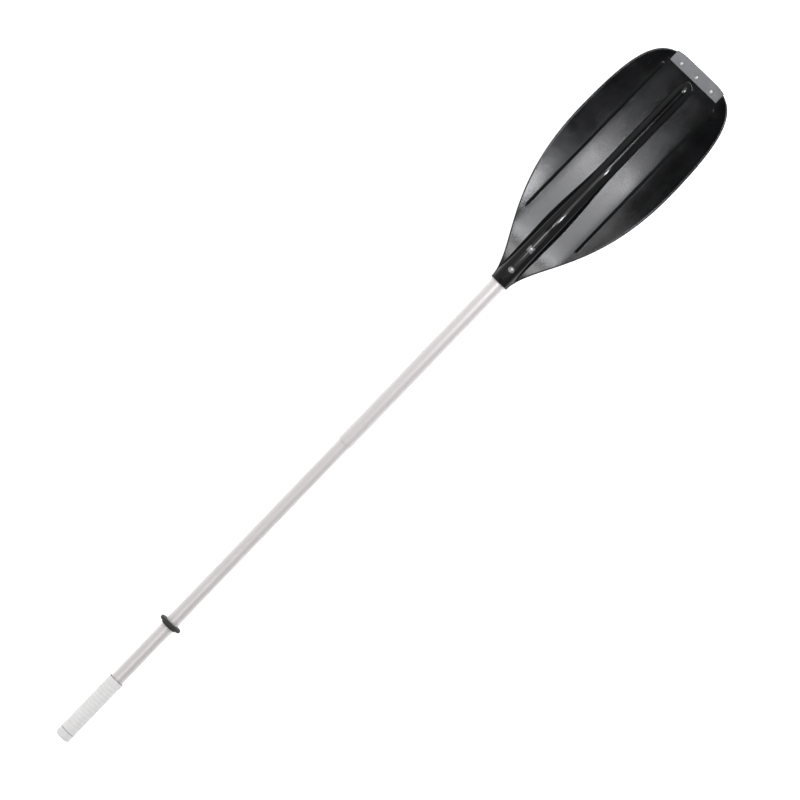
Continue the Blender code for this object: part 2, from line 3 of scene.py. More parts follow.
import bpy
import numpy as np
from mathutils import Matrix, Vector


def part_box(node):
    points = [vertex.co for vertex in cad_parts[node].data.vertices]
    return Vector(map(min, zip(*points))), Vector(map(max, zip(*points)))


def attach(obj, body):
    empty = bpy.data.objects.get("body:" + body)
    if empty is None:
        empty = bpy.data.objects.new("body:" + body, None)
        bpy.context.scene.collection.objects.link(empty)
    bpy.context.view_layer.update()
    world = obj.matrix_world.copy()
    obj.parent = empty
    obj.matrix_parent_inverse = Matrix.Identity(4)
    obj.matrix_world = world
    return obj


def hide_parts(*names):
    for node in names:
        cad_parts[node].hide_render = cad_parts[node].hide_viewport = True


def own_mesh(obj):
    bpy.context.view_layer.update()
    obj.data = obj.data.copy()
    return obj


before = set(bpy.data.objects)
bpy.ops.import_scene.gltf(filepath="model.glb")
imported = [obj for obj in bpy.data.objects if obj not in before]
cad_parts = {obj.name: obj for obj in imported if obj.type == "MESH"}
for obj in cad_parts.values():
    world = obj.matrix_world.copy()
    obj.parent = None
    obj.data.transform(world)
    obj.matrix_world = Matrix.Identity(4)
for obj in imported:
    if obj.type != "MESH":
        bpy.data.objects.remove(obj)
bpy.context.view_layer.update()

# A take-apart oar, lying along X with its blade at +X and the blade's hollow face up. Lengths are in metres.

boxes = {name: [np.array(corner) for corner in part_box(name)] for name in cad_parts}
shaftHeight = (boxes["lower_tube"][0][2] + boxes["lower_tube"][1][2]) / 2
bladeMouth = boxes["blade"][0][0]
print("frame loaded:", len(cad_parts), "nodes")


# Small sums used by every shape

def mix(first, second, share):
    # first where share is 0, second where it is 1, in a straight line
    return first + (second - first) * share


def smoothStep(value, low, high):
    # rises from 0 at low to 1 at high, level at both ends
    share = np.clip((value - low) / (high - low), 0, 1)
    return share * share * (3 - 2 * share)


def smoothMax(first, second, blend):
    # the larger of two heights, with a fillet where they are closer than blend
    near = np.clip(1 - np.abs(first - second) / blend, 0, None)
    return np.maximum(first, second) + near * near * blend / 4


def bezier(start, startHandle, endHandle, end, steps):
    # cubic curve from start to end, pulled towards its two handles
    t = np.linspace(0, 1, steps)[:, None]
    knots = [np.array(knot, float) for knot in (start, startHandle, endHandle, end)]
    shares = [(1 - t) ** 3, 3 * (1 - t) ** 2 * t, 3 * (1 - t) * t ** 2, t ** 3]
    return sum(share * knot for share, knot in zip(shares, knots))


def quarterTurn(steps):
    # angles from 0 to a right angle
    return np.linspace(0, math.pi / 2, steps)


def travelAlong(line):
    # how far along a line each of its points lies
    return np.append(0, np.cumsum(np.linalg.norm(np.diff(line, axis=0), axis=1)))


def leftOf(line):
    # unit directions square to a line, on the left of the way it runs
    ahead = np.gradient(line, axis=0)
    ahead /= np.linalg.norm(ahead, axis=1)[:, None]
    return np.column_stack([-ahead[:, 1], ahead[:, 0]])


# Grids of vertex numbers, and the meshes made from them

def quads(grid, wrapped=False):
    # one face for each cell of a grid of vertex numbers; wrapped joins its last column to its first
    if wrapped:
        grid = np.hstack([grid, grid[:, :1]])
    corners = [grid[:-1, :-1], grid[1:, :-1], grid[1:, 1:], grid[:-1, 1:]]
    return np.stack(corners, axis=-1).reshape(-1, 4)


def fan(pole, ring):
    # triangles from one closing vertex to each side of a ring
    return np.column_stack([np.full(len(ring), pole), ring, np.roll(ring, -1)])


def signedVolume(points, faces):
    # sum of the wedges between the middle and each face, positive where the faces point outwards
    corners = points[faces] - points.mean(axis=0)
    total = 0.0
    for side in range(1, faces.shape[1] - 1):
        wedge = np.cross(corners[:, side], corners[:, side + 1])
        total += np.einsum("ij,ij->", corners[:, 0], wedge) / 6
    return total


def addObject(name, data, place=(0, 0, 0)):
    # a new object in the scene, unturned
    thing = bpy.data.objects.new(name, data)
    thing.location = place
    bpy.context.scene.collection.objects.link(thing)
    return thing


def newPiece(name, points, four, others, edge, sharpAngle=38):
    # a closed mesh; edge is a value per vertex, 1 along the corners that wear first
    inwards = signedVolume(points, four) < 0
    faces = four.tolist() + [list(face) for face in others]
    mesh = bpy.data.meshes.new(name)
    mesh.from_pydata(points.tolist(), [], [face[::-1] for face in faces] if inwards else faces)
    mesh.attributes.new("edge", "FLOAT", "POINT").data.foreach_set("value", edge.astype(np.float32))
    mesh.shade_smooth()
    mesh.set_sharp_from_angle(angle=math.radians(sharpAngle))
    return addObject(name, mesh)


def stripPiece(name, points, edge):
    # one loop of points after another along a strip, closed at both ends
    grid = np.arange(edge.size).reshape(points.shape[:2])
    return newPiece(name, points.reshape(-1, 3), quads(grid, True), [grid[0], grid[-1, ::-1]], edge.ravel())


def dress(piece, material, slot, body, *nodes):
    # finish, material slot (not used), the CAD body it rides on and the CAD nodes it stands for
    piece.data.materials.append(material)
    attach(piece, body)
    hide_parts(*nodes)


# Turned shapes: a profile of (place, radius) carried round an axis

def rounded(corners, steps=7, support=.0016):
    # each corner is (place, radius, rounding); a rounding swings an arc that touches both of its edges, and
    # its edge value swells to 1 in the middle; a point support beyond each end keeps the shading flat
    corners = np.array(corners, float)
    stretches = []
    for before, corner, after in zip(np.roll(corners, 1, 0), corners, np.roll(corners, -1, 0)):
        here = corner[:2]
        if corner[2] == 0:
            stretches.append([[*here, 0]])
            continue
        back = (before[:2] - here) / np.linalg.norm(before[:2] - here)
        ahead = (after[:2] - here) / np.linalg.norm(after[:2] - here)
        half = math.acos(np.clip(back @ ahead, -1, 1)) / 2
        reach = corner[2] / math.tan(half)
        centre = here + (back + ahead) / np.linalg.norm(back + ahead) * corner[2] / math.sin(half)
        first, last = here + back * reach - centre, here + ahead * reach - centre
        turn = math.pi - 2 * half
        share = np.linspace(0, 1, steps)[:, None]
        swung = np.sin((1 - share) * turn) * first + np.sin(share * turn) * last
        arc = centre + swung / math.sin(turn)
        stretches.append([[*here + back * (reach + support), 0]])
        stretches.append(np.column_stack([arc, np.sin(math.pi * share)]))
        stretches.append([[*here + ahead * (reach + support), 0]])
    return np.vstack(stretches)


def turned(profile, segments, solid):
    # point = (radius cos angle, radius sin angle, place); a solid's first and last points lie on the axis
    body = profile[1:-1] if solid else profile
    angle = np.linspace(0, math.tau, segments, endpoint=False)
    place, radius, edge = (column[:, None] for column in body.T)
    shape = (len(body), segments)
    place = np.broadcast_to(place, shape)
    points = np.stack([radius * np.cos(angle), radius * np.sin(angle), place], axis=-1).reshape(-1, 3)
    edge = np.broadcast_to(edge, shape).ravel()
    grid = np.arange(len(points)).reshape(shape)
    if not solid:
        return points, quads(np.vstack([grid, grid[:1]]), True), [], edge
    (low, _, lowEdge), (high, _, highEdge) = profile[0], profile[-1]
    count = len(points)
    points = np.vstack([points, [[0, 0, low], [0, 0, high]]])
    three = np.vstack([fan(count, grid[0]), fan(count + 1, grid[-1, ::-1])])
    return points, quads(grid, True), three, np.append(edge, [lowEdge, highEdge])


def alongShaft(points):
    # the turning axis becomes the shaft's
    return points[:, [2, 0, 1]] + [0, 0, shaftHeight]


def roundNode(node):
    # start, end and outer radius of a CAD node that lies along the shaft
    low, high = boxes[node]
    return low[0], high[0], (high[1] - low[1]) / 2


def shaftPiece(name, profile, segments, solid):
    # a profile turned about the shaft's axis
    points, four, three, edge = turned(profile, segments, solid)
    return newPiece(name, alongShaft(points), four, three, edge)


# Shader building blocks

def feed(tree, node, inputs):
    # each input takes a value or the socket that gives it
    for label, value in inputs.items():
        if isinstance(value, bpy.types.NodeSocket):
            tree.links.new(value, node.inputs[label])
        else:
            node.inputs[label].default_value = value
    return node


def addNode(tree, kind, inputs=None, **settings):
    # a new node with its settings and inputs
    node = tree.nodes.new("ShaderNode" + kind)
    for setting, value in settings.items():
        setattr(node, setting, value)
    return feed(tree, node, inputs or {})


def calc(tree, operation, *values):
    # one sum, out of numbers and sockets
    return addNode(tree, "Math", dict(enumerate(values)), operation=operation).outputs[0]


def ease(tree, value, fromLow, fromHigh, toLow=0.0, toHigh=1.0):
    # value from one range to another, with soft ends
    return addNode(tree, "MapRange", {
        "Value": value, "From Min": fromLow, "From Max": fromHigh, "To Min": toLow, "To Max": toHigh,
    }, interpolation_type="SMOOTHSTEP").outputs["Result"]


def blendColours(tree, share, first, second):
    # first where share is 0, second where it is 1; a colour mix takes them at its sockets 0, 6 and 7
    shades = [(*shade, 1) if isinstance(shade, tuple) else shade for shade in (first, second)]
    return addNode(tree, "Mix", {0: share, 6: shades[0], 7: shades[1]}, data_type="RGBA").outputs[2]


def newGroup(name, inputs, outputs):
    # inputs are {label: starting value}, a vector where the value is one; returns the group, the sockets that
    # give the inputs and the node that takes the outputs
    group = bpy.data.node_groups.new(name, "ShaderNodeTree")
    for label, value in inputs.items():
        kind = "NodeSocketVector" if isinstance(value, tuple) else "NodeSocketFloat"
        group.interface.new_socket(name=label, in_out="INPUT", socket_type=kind).default_value = value
    for label in outputs:
        group.interface.new_socket(name=label, in_out="OUTPUT", socket_type="NodeSocketFloat")
    return group, group.nodes.new("NodeGroupInput").outputs, group.nodes.new("NodeGroupOutput")


def noise(tree, vector, size, detail=3.0, roughness=.55):
    # cloudy noise whose blotches are about size across, in metres
    scale = calc(tree, "DIVIDE", 1.0, size)
    return addNode(tree, "TexNoise", {
        "Vector": vector, "Scale": scale, "Detail": detail, "Roughness": roughness,
    }).outputs[0]


def streaks(tree, vector, sizes, detail, roughness):
    # the same noise with a size of its own along each axis
    stretched = addNode(tree, "VectorMath", {0: vector, 1: sizes}, operation="DIVIDE").outputs[0]
    return addNode(tree, "TexNoise", {
        "Vector": stretched, "Scale": 1.0, "Detail": detail, "Roughness": roughness,
    }).outputs[0]


# The patterns that the finishes share. A span is the part of a noise that is spread from 0 to 1

mouldedPattern = {"grainSpan": (.25, .75), "mottleSpan": (.3, .7)}
wornPattern = {"coarseTimes": 6.0, "coarseSwing": .9, "fineSwing": .8, "fullPast": .7, "fullEdge": .5}
scratchPattern = {
    "headings": (.12, -.20, .42), "peak": .86, "peakDrop": .25, "softness": .06, "patchSpan": (.42, .62),
}
drawnPattern = {"lineSpan": (.3, .7), "cloudSpan": (.3, .7)}


def makeMouldedGroup():
    # Grain is fine pebbling and Mottle slow blotches, both from 0 to 1
    group, given, made = newGroup("mouldedSurface", {
        "Vector": (0, 0, 0), "Grain Size": .0006, "Mottle Size": .03,
    }, ["Grain", "Mottle"])
    grain = noise(group, given["Vector"], given["Grain Size"], detail=2.0, roughness=.5)
    mottle = noise(group, given["Vector"], given["Mottle Size"], detail=4.0, roughness=.6)
    feed(group, made, {
        "Grain": ease(group, grain, *mouldedPattern["grainSpan"]),
        "Mottle": ease(group, mottle, *mouldedPattern["mottleSpan"]),
    })
    return group


def makeWornGroup():
    # Mask rises from 0 to 1 where the edge value, moved by coarse and fine noise, passes 1 less Amount, and
    # stays 0 away from the edges
    p = wornPattern
    group, given, made = newGroup("wornEdges", {
        "Vector": (0, 0, 0), "Edge": 0.0, "Amount": .5, "Size": .004,
    }, ["Mask"])
    coarseSize = calc(group, "MULTIPLY", given["Size"], p["coarseTimes"])
    coarse = noise(group, given["Vector"], coarseSize, detail=2.0, roughness=.5)
    fine = noise(group, given["Vector"], given["Size"], detail=6.0, roughness=.7)
    shift = calc(group, "ADD", calc(group, "MULTIPLY_ADD", coarse, p["coarseSwing"], -p["coarseSwing"] / 2),
                 calc(group, "MULTIPLY_ADD", fine, p["fineSwing"], -p["fineSwing"] / 2))
    limit = calc(group, "SUBTRACT", 1.0, given["Amount"])
    past = calc(group, "SUBTRACT", calc(group, "ADD", given["Edge"], shift), limit)
    nearEdge = ease(group, given["Edge"], 0.0, p["fullEdge"])
    feed(group, made, {"Mask": calc(group, "MULTIPLY", ease(group, past, 0.0, p["fullPast"]), nearEdge)})
    return group


def makeScratchGroup():
    # Lines are straight tapering streaks: the peaks of a noise drawn out along each heading, kept in patches
    p = scratchPattern
    group, given, made = newGroup("fineScratches", {
        "Vector": (0, 0, 0), "Length": .03, "Width": .0005, "Amount": .3,
    }, ["Lines"])
    sizes = addNode(group, "CombineXYZ", {
        "X": given["Length"], "Y": given["Width"], "Z": given["Length"],
    }).outputs[0]
    limit = calc(group, "MULTIPLY_ADD", given["Amount"], -p["peakDrop"], p["peak"])
    lines = None
    for heading in p["headings"]:
        swung = addNode(group, "Mapping", {
            "Vector": given["Vector"], "Rotation": (0, 0, heading), "Location": (heading, heading, 0),
        }).outputs[0]
        above = calc(group, "SUBTRACT", streaks(group, swung, sizes, detail=0.0, roughness=.5), limit)
        peaks = ease(group, above, 0.0, p["softness"])
        lines = peaks if lines is None else calc(group, "MAXIMUM", lines, peaks)
    patches = ease(group, noise(group, given["Vector"], given["Length"], detail=2.0), *p["patchSpan"])
    feed(group, made, {"Lines": calc(group, "MULTIPLY", lines, patches)})
    return group


def makeDrawnGroup():
    # Lines are fine streaks with a size along each axis; Cloud is slow change over the metal
    group, given, made = newGroup("drawnMetal", {
        "Vector": (0, 0, 0), "Line Size": (.05, .0002, .0002), "Cloud Size": .05,
    }, ["Lines", "Cloud"])
    lines = streaks(group, given["Vector"], given["Line Size"], detail=3.0, roughness=.6)
    cloud = noise(group, given["Vector"], given["Cloud Size"])
    feed(group, made, {
        "Lines": ease(group, lines, *drawnPattern["lineSpan"]),
        "Cloud": ease(group, cloud, *drawnPattern["cloudSpan"]),
    })
    return group


mouldedGroup = makeMouldedGroup()
wornGroup = makeWornGroup()
scratchGroup = makeScratchGroup()
drawnGroup = makeDrawnGroup()


def startMaterial(name, looks):
    # the material, its tree and shader, object coordinates and the piece's edge value
    material = bpy.data.materials.new(name)
    material.use_nodes = True
    material.diffuse_color = (*looks["colour"], 1)
    tree = material.node_tree
    shader = feed(tree, tree.nodes["Principled BSDF"], {
        "IOR": looks.get("ior", 1.5), "Metallic": looks.get("metallic", 0.0),
    })
    place = addNode(tree, "TexCoord").outputs["Object"]
    edge = addNode(tree, "Attribute", attribute_name="edge").outputs["Fac"]
    return material, tree, shader, place, edge


def groupNode(tree, group, inputs):
    # one of the groups above, placed in a material with values of its own
    return addNode(tree, "Group", inputs, node_tree=group).outputs


def wornMask(tree, place, edge, looks):
    # where a piece has worn, from its edge value
    return groupNode(tree, wornGroup, {
        "Vector": place, "Edge": edge, "Amount": looks["wear"], "Size": looks["wearSize"],
    })["Mask"]


def feedShader(tree, shader, looks, share, marks, height, depth):
    # share goes through the two shades and the roughness range, marks lead over to the worn ones, and height
    # stands depth high in the bump
    shade = blendColours(tree, share, looks["colour"], looks["otherColour"])
    low, high = looks["roughness"]
    rough = calc(tree, "MULTIPLY_ADD", share, high - low, low)
    feed(tree, shader, {
        "Base Color": blendColours(tree, marks, shade, looks["wornColour"]),
        "Roughness": calc(tree, "MULTIPLY_ADD", marks, looks["wornRoughness"], rough),
        "Normal": addNode(tree, "Bump", {"Height": height, "Distance": depth, "Strength": 1.0}).outputs[0],
    })


def plasticFinish(name, looks):
    # mottled between two shades, paler where worn; grain and scratches stand in the bump
    material, tree, shader, place, edge = startMaterial(name, looks)
    surface = groupNode(tree, mouldedGroup, {
        "Vector": place, "Grain Size": looks["grainSize"], "Mottle Size": looks["mottleSize"],
    })
    scratches = groupNode(tree, scratchGroup, {
        "Vector": place, "Length": looks["scratchLength"], "Width": looks["scratchWidth"],
        "Amount": looks["scratches"],
    })["Lines"]
    worn = calc(tree, "MULTIPLY", wornMask(tree, place, edge, looks), looks["wornShare"])
    marks = calc(tree, "MAXIMUM", worn, calc(tree, "MULTIPLY", scratches, looks["scratchShare"]))
    height = calc(tree, "MULTIPLY_ADD", scratches, -looks["scratchDepth"], surface["Grain"])
    feedShader(tree, shader, looks, surface["Mottle"], marks, height, looks["grainHeight"])
    return material


def metalFinish(name, looks):
    # streaks of two shades along the lines it was drawn or brushed in, brighter where worn
    material, tree, shader, place, edge = startMaterial(name, looks)
    drawn = groupNode(tree, drawnGroup, {
        "Vector": place, "Line Size": looks["lineSize"], "Cloud Size": looks["cloudSize"],
    })
    share = calc(tree, "MULTIPLY_ADD", drawn["Lines"], .5, calc(tree, "MULTIPLY", drawn["Cloud"], .5))
    worn = wornMask(tree, place, edge, looks)
    feedShader(tree, shader, looks, share, worn, drawn["Lines"], looks["lineDepth"])
    return material


# Blade: one black moulding with a socket, a centre spine and two side ribs

bladeLooks = {
    "colour": (.0019, .0020, .0023), "otherColour": (.0030, .0031, .0035), "wornColour": (.030, .030, .031),
    "roughness": (.11, .15), "wornRoughness": .25, "wornShare": .7, "ior": 1.33,
    "grainSize": .0007, "grainHeight": .000006, "mottleSize": .045,
    "wear": .42, "wearSize": .006,
    "scratchLength": .035, "scratchWidth": .0006, "scratches": .32, "scratchShare": .22, "scratchDepth": .6,
}
bladeShape = {
    "length": .4605, "halfWidth": .100, "widestAt": .290, "halfTip": .028,
    "throatReach": .058, "shoulderReach": .176, "sideFullness": .72, "cornerFullness": .80,
    "halfPlate": .002, "spoonDepth": .0163, "spoonStart": .0335, "tipRise": .008,
    "dipLead": .28, "dipSettle": .50, "riseLead": .35, "riseSettle": .70, "riseAtSettle": .38,
    "wingSlope": .135, "hollowStart": .027, "hollowEnd": .072,
    "socketRadius": .0165, "boreRadius": .0128, "socketDepth": .120,
    "taperStart": .105, "taperLength": .150, "spineHalf": .0123, "spineFront": .006, "spineBack": .0015,
    "spineEnd": .4340, "spineEndReach": .020, "fillet": .005, "flankSlope": 3,
    "ribOffset": .054, "ribHeight": .003, "ribWidth": .005,
    "ribStart": .1165, "ribEnd": .4310, "ribFade": .0065,
    "seatPlaces": (.028, .072), "seatRadius": .0056, "seatHeight": .0155, "seatFlank": 2.5,
    "lip": .0008, "boreLip": .0005, "partingLine": .00012, "partingSwing": .12,
    "rimWearReach": .0035, "mouthWear": .45, "tipWearStretch": (.25, .43),
    "frontRibWear": .25, "boreWear": .2,
}
bladeMesh = {
    # rows along the outline: the step between them, and the places that need them closer together
    "curveSteps": 900, "rowStep": .0020, "apart": .0003, "nearest": .0002,
    "seatSteps": (.0014, .0034, .0052, .0056, .0060, .0064, .0076),
    "ribStep": .0007, "ribBefore": .0005, "ribAfter": .0010,
    "spineStep": .0011, "spineBefore": .001, "fineStep": .0005, "fineBefore": .009, "fineAfter": .0016,
    # columns from the middle to the rim: a count for each stretch, and where the stretches part; the first
    # two shares go from one value to the other between the two half-widths beside them
    "spine": 25, "fillet": 15, "flute": 8, "rib": 13, "wing": 11, "flutePower": 1.2, "wingPower": 1.4,
    "neckShare": (.60, .93), "neckHalf": (.0147, .0165), "ribShare": (.60, .90), "ribHalf": (.020, .055),
    "spineMargin": 1.03, "leastClosing": .06, "ribMargin": .0005, "ribRoom": .07,
    "filletReach": .0060, "filletShare": .45,
    "rim": 15, "lip": 6, "boreShares": (.03, .5, 1),
}


def bladeOutline():
    # two curves, mouth to widest and widest to tip edge, as (from mouth, half-width)
    s = bladeShape
    half, tip, widest, length = s["halfWidth"], s["halfTip"], s["widestAt"], s["length"]
    side = bezier((0, s["socketRadius"]), (s["throatReach"], s["socketRadius"]),
                  (widest - s["shoulderReach"], half), (widest, half), bladeMesh["curveSteps"])
    corner = bezier((widest, half), (mix(widest, length, s["sideFullness"]), half),
                    (length, mix(tip, half, s["cornerFullness"])), (length, tip), bladeMesh["curveSteps"])
    return np.vstack([side, corner[1:]])


def spoonLine():
    # height of the plate's middle along the blade, in two curves: a dip, then a rise to the tip
    s = bladeShape
    steps = bladeMesh["curveSteps"]
    start, low, length, depth = s["spoonStart"], s["widestAt"], s["length"], s["spoonDepth"]
    settled = s["riseAtSettle"] * s["tipRise"] - depth
    dip = bezier((start, 0), (mix(start, low, s["dipLead"]), 0),
                 (mix(start, low, s["dipSettle"]), -depth), (low, -depth), steps)
    rise = bezier((low, -depth), (mix(low, length, s["riseLead"]), -depth),
                  (mix(low, length, s["riseSettle"]), settled), (length, s["tipRise"] - depth), steps)
    return np.vstack([dip, rise[1:]])


spoonPoints = spoonLine()


def spoon(u):
    # the spoon line's height at u, straight between its points
    return np.interp(u, spoonPoints[:, 0], spoonPoints[:, 1])


def plateMiddle(u, v):
    # the spoon, and across it a parabola between two half-widths that runs on as straight rising wings
    s = bladeShape
    width = s["hollowEnd"] - s["hollowStart"]
    inHollow = np.clip(np.abs(v) - s["hollowStart"], 0, width)
    onWing = np.clip(np.abs(v) - s["hollowEnd"], 0, None)
    return spoon(u) + s["wingSlope"] * (inHollow ** 2 / (2 * width) + onWing)


def ribHeight(u, v):
    # a squared cosine across each side rib, carried round both of its drawn-out ends
    s = bladeShape
    across = (np.abs(v) - s["ribOffset"]) / (s["ribWidth"] / 2)
    pastEnd = np.maximum(u - (s["ribEnd"] - s["ribFade"]), s["ribStart"] + s["ribFade"] - u) / s["ribFade"]
    away = np.clip(np.hypot(across, np.clip(pastEnd, 0, None)), 0, 1)
    return s["ribHeight"] * np.cos(math.pi / 2 * away) ** 2


def spineShare(u):
    # 0 on the socket, 1 on the spine, and a soft step along the taper between them
    return smoothStep(u, bladeShape["taperStart"], bladeShape["taperStart"] + bladeShape["taperLength"])


def spineHalfWidth(u):
    # from the socket's radius to the spine's half-width, along the same step
    return mix(bladeShape["socketRadius"], bladeShape["spineHalf"], spineShare(u))


def pastSpineEnd(u):
    # 0 where the spine's drawn-out tip end begins, 1 where it is over, in a straight line
    return np.clip(1 - (bladeShape["spineEnd"] - u) / bladeShape["spineEndReach"], 0, None)


def spineSurface(u, v, side):
    # half an ellipse across, a full round over the socket and a low one over the plate; a drawn-out quarter
    # of an ellipsoid closes its tip end
    s = bladeShape
    share = spineShare(u)
    above = s["spineFront"] if side > 0 else s["spineBack"]
    height = mix(s["socketRadius"], s["halfPlate"] + above, share)
    half = spineHalfWidth(u)
    across = np.hypot(v / half, pastSpineEnd(u))
    dome = height * np.sqrt(np.clip(1 - across ** 2, 0, None))
    flank = -s["flankSlope"] * s["socketRadius"] * (across - 1)
    return side * spoon(u) * share + np.where(across < 1, dome, flank)


def bladeSurface(u, v, side):
    # plate and rib, blended with the spine by a fillet; a flat is cut across the socket for each rivet head
    s = bladeShape
    plate = side * plateMiddle(u, v) + s["halfPlate"] + ribHeight(u, v)
    height = smoothMax(plate, spineSurface(u, v, side), s["fillet"])
    for place in s["seatPlaces"]:
        seat = s["seatHeight"] + s["seatFlank"] * np.clip(np.abs(u - place) - s["seatRadius"], 0, None)
        height = np.minimum(height, seat)
    return side * height


def bladeRows():
    # places along the outline moved in by the rim's radius, in even steps of its length; closer steps take
    # over at the rivet seats' edges, the ribs' starts and the spine's end
    s, m = bladeShape, bladeMesh
    outline = bladeOutline()
    outwards = leftOf(outline)
    inset = outline - outwards * s["halfPlate"]
    travel = travelAlong(inset)
    wanted = np.append(np.arange(0, travel[-1], m["rowStep"]), travel[-1])
    seatSteps = np.array(m["seatSteps"])
    dense = [place + np.append(-seatSteps[::-1], seatSteps) for place in s["seatPlaces"]]
    ribSide = s["ribStart"] + s["ribFade"]
    dense.append(np.arange(s["ribStart"] - m["ribBefore"], ribSide + m["ribAfter"], m["ribStep"]))
    coarse = np.arange(-s["spineEndReach"] - m["spineBefore"], -m["fineBefore"], m["spineStep"])
    fine = np.arange(-m["fineBefore"], m["fineAfter"], m["fineStep"])
    dense.append(s["spineEnd"] + np.append(coarse, fine))
    for near in dense:
        near = np.interp(near, inset[:, 0], travel)
        isClear = (wanted < near[0] - m["apart"]) | (wanted > near[-1] + m["apart"])
        wanted = np.append(wanted[isClear], near)
    at = np.unique(wanted)
    at = at[np.append(True, np.diff(at) > m["nearest"])]
    at[-1] = travel[-1]
    u, half, outU, outV = (np.interp(at, travel, column) for column in np.hstack([inset, outwards]).T)
    return np.maximum(u, s["lip"]), half, outU, outV


def acrossBlade(u, half):
    # half-widths at which each row is measured: dense over the spine, its fillet and the side rib. In the
    # neck they keep to the socket's side as soon as it stands clear of the rim
    s, m = bladeShape, bladeMesh
    neck = half * mix(*m["neckShare"], smoothStep(half, *m["neckHalf"]))
    closing = np.sqrt(np.clip(1 - pastSpineEnd(u) ** 2, m["leastClosing"], 1))
    spineEdge = np.minimum(spineHalfWidth(u) * m["spineMargin"] * closing, neck)
    room = half - spineEdge
    ribShare = mix(*m["ribShare"], smoothStep(half, *m["ribHalf"]))
    ribLine = np.minimum(s["ribOffset"], spineEdge + room * ribShare)
    ribHalf = np.minimum(s["ribWidth"] / 2 + m["ribMargin"], m["ribRoom"] * room)
    ribNear, ribFar = ribLine - ribHalf, ribLine + ribHalf
    filletEdge = np.minimum(spineEdge + m["filletReach"], mix(spineEdge, ribNear, m["filletShare"]))
    spine = np.sin(quarterTurn(m["spine"]))[:-1]
    fillet = np.linspace(0, 1, m["fillet"])[:-1]
    flute = np.linspace(0, 1, m["flute"])[:-1] ** m["flutePower"]
    rib = np.linspace(0, 1, m["rib"])[:-1]
    wing = 1 - np.linspace(1, 0, m["wing"]) ** m["wingPower"]
    spineEdge, filletEdge, ribNear, ribFar = (
        line[:, None] for line in (spineEdge, filletEdge, ribNear, ribFar))
    right = np.hstack([
        spineEdge * spine,
        mix(spineEdge, filletEdge, fillet),
        mix(filletEdge, ribNear, flute),
        mix(ribNear, ribFar, rib),
        mix(ribFar, half[:, None], wing),
    ])
    return np.hstack([-right[:, :0:-1], right])


